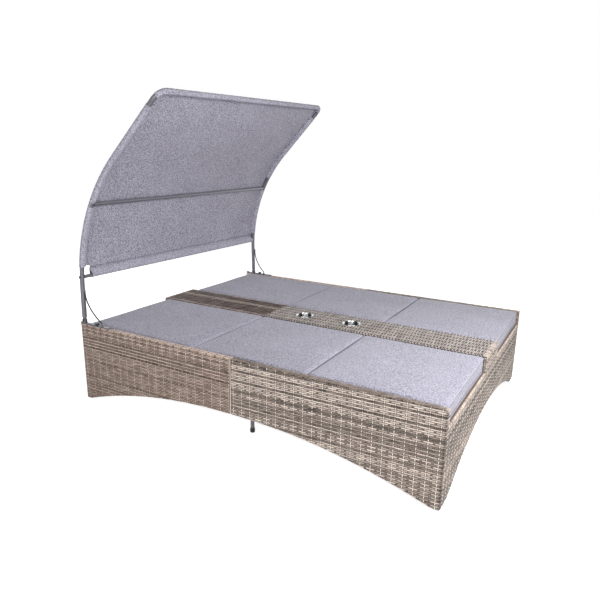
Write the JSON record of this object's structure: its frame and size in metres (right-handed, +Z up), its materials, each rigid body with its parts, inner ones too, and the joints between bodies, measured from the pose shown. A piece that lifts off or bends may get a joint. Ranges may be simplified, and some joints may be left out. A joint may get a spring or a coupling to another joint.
{
  "type": "outdoor daybed with canopy",
  "caption": "Low double daybed in woven flat strand with loose cushions, reclining backrests, a middle console with cup holders and a tilting fabric canopy on a bent tube.",
  "frame": {"origin": "on the ground under the middle of the bed", "axes": "+X from the head end, where the canopy stands, to the foot end; +Y from the near side to the far side; +Z up"},
  "size_m": [2, 1.5818, 1.6423],
  "materials": {
    "weave": "flat woven strand in mixed beige, grey and brown",
    "dark_weave": "flat woven strand, darker mix",
    "cushion_fabric": "heathered light grey woven cover",
    "canopy_fabric": "heathered grey woven sheet",
    "dark_steel": "satin dark grey powder coat",
    "plain_steel": "zinc plated",
    "polished_steel": "polished",
    "black_plastic": "moulded, satin",
    "cord": "braided cord"
  },
  "bodies": {
    "base": {"near_head_side_panel": "weave", "near_foot_side_panel": "weave", "near_head_end_panel": "weave", "near_foot_end_panel": "weave", "near_head_frame": "dark_steel", "near_foot_frame": "dark_steel", "near_head_glide": "black_plastic", "near_foot_glide": "black_plastic", "near_head_seat_deck": "weave", "near_foot_seat_deck": "weave", "near_middle_cushion": "cushion_fabric", "near_foot_cushion": "cushion_fabric", "near_outer_support_leg": "dark_steel", "near_inner_support_leg": "dark_steel", "near_outer_leg_cap": "black_plastic", "near_inner_leg_cap": "black_plastic", "near_stay_rack": "plain_steel", "near_hinge_rod": "plain_steel", "near_canopy_bracket": "dark_steel", "near_canopy_bolt": "black_plastic", "near_check_cord": "cord", "far_head_side_panel": "weave", "far_foot_side_panel": "weave", "far_head_end_panel": "weave", "far_foot_end_panel": "weave", "far_head_frame": "dark_steel", "far_foot_frame": "dark_steel", "far_head_glide": "black_plastic", "far_foot_glide": "black_plastic", "far_head_seat_deck": "weave", "far_foot_seat_deck": "weave", "far_middle_cushion": "cushion_fabric", "far_foot_cushion": "cushion_fabric", "far_outer_support_leg": "dark_steel", "far_inner_support_leg": "dark_steel", "far_outer_leg_cap": "black_plastic", "far_inner_leg_cap": "black_plastic", "far_stay_rack": "plain_steel", "far_hinge_rod": "plain_steel", "far_canopy_bracket": "dark_steel", "far_canopy_bolt": "black_plastic", "far_check_cord": "cord", "console_head_cover": "dark_weave", "console_foot_cover": "weave", "head_cup_holder": "polished_steel", "foot_cup_holder": "polished_steel"},
    "near_backrest": {"near_backrest_frame": "dark_steel", "near_backrest_deck": "weave", "near_head_cushion": "cushion_fabric"},
    "near_stay": {"near_backrest_stay": "plain_steel"},
    "near_knob": {"near_clamp_knob": "black_plastic"},
    "far_backrest": {"far_backrest_frame": "dark_steel", "far_backrest_deck": "weave", "far_head_cushion": "cushion_fabric"},
    "far_stay": {"far_backrest_stay": "plain_steel"},
    "far_knob": {"far_clamp_knob": "black_plastic"},
    "canopy": {"canopy_frame": "dark_steel", "canopy_lower_bar": "dark_steel", "canopy_middle_bar": "dark_steel", "canopy_fabric": "canopy_fabric"}
  },
  "joints": [
    {"name": "near_recline", "type": "hinge", "parent": "base", "child": "near_backrest", "pos_m": [-0.256, -0.45, 0.3317], "axis": [0, 1, 0], "range_deg": [0, 60], "deforming": ["near_head_cushion"]},
    {"name": "near_stay_fold", "type": "hinge", "parent": "near_backrest", "child": "near_stay", "pos_m": [-0.586, -0.45, 0.3317], "axis": [0, 1, 0], "range_deg": [-120, 0]},
    {"name": "far_recline", "type": "hinge", "parent": "base", "child": "far_backrest", "pos_m": [-0.256, 0.45, 0.3317], "axis": [0, 1, 0], "range_deg": [0, 60], "deforming": ["far_head_cushion"]},
    {"name": "far_stay_fold", "type": "hinge", "parent": "far_backrest", "child": "far_stay", "pos_m": [-0.586, 0.45, 0.3317], "axis": [0, 1, 0], "range_deg": [-120, 0]},
    {"name": "canopy_tilt", "type": "hinge", "parent": "base", "child": "canopy", "pos_m": [-0.961, 0, 0.45256], "axis": [0.0252, 0.9997, 0], "range_deg": [-4, 20], "deforming": ["near_check_cord", "far_check_cord"]},
    {"name": "near_knob_turn", "type": "hinge", "parent": "base", "child": "near_knob", "pos_m": [-0.885, -0.775, 0.4386], "axis": [0, 0, 1], "continuous": true},
    {"name": "far_knob_turn", "type": "hinge", "parent": "base", "child": "far_knob", "pos_m": [-0.885, 0.775, 0.4386], "axis": [0, 0, 1], "continuous": true}
  ],
  "couplings": [
    {"joint": "near_stay_fold", "follows": "near_recline", "ratio": -2},
    {"joint": "far_stay_fold", "follows": "far_recline", "ratio": -2}
  ]
}
